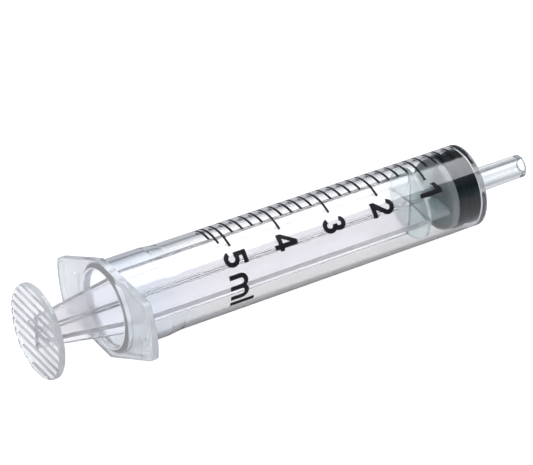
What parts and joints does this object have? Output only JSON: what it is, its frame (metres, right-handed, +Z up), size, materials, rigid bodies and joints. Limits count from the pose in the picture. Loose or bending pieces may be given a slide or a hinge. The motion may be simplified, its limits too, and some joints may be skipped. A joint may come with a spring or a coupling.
{
  "type": "oral syringe",
  "caption": "Clear oral syringe with a concentric slip nozzle, black rubber stopper, cross-ribbed plunger, ridged thumb disc, lozenge finger flange and a printed millilitre scale.",
  "frame": {"origin": "under the middle of the syringe's length, on the plane of the finger flange's lower edge", "axes": "+X along the syringe towards the nozzle, +Z up, the flange's lower edge lies flat"},
  "size_m": [0.0878, 0.0286, 0.0155],
  "materials": {
    "barrel": "clear polypropylene, glossy",
    "stopper": "black moulded rubber, satin",
    "plunger": "translucent polypropylene",
    "ink": "printed black ink"
  },
  "bodies": {
    "barrel": {"barrel": "barrel", "scale_lines": "ink", "scale_numerals": "ink"},
    "stopper": {"stopper": "stopper"},
    "plunger": {"plunger": "plunger"}
  },
  "joints": [
    {"name": "draw_slide", "type": "slide", "parent": "barrel", "child": "stopper", "axis": [-1, 0, 0], "range_m": [0, 0.048]},
    {"name": "plunger_swivel", "type": "hinge", "parent": "stopper", "child": "plunger", "pos_m": [0.03047, 0, 0.00775], "axis": [1, 0, 0], "continuous": true}
  ]
}
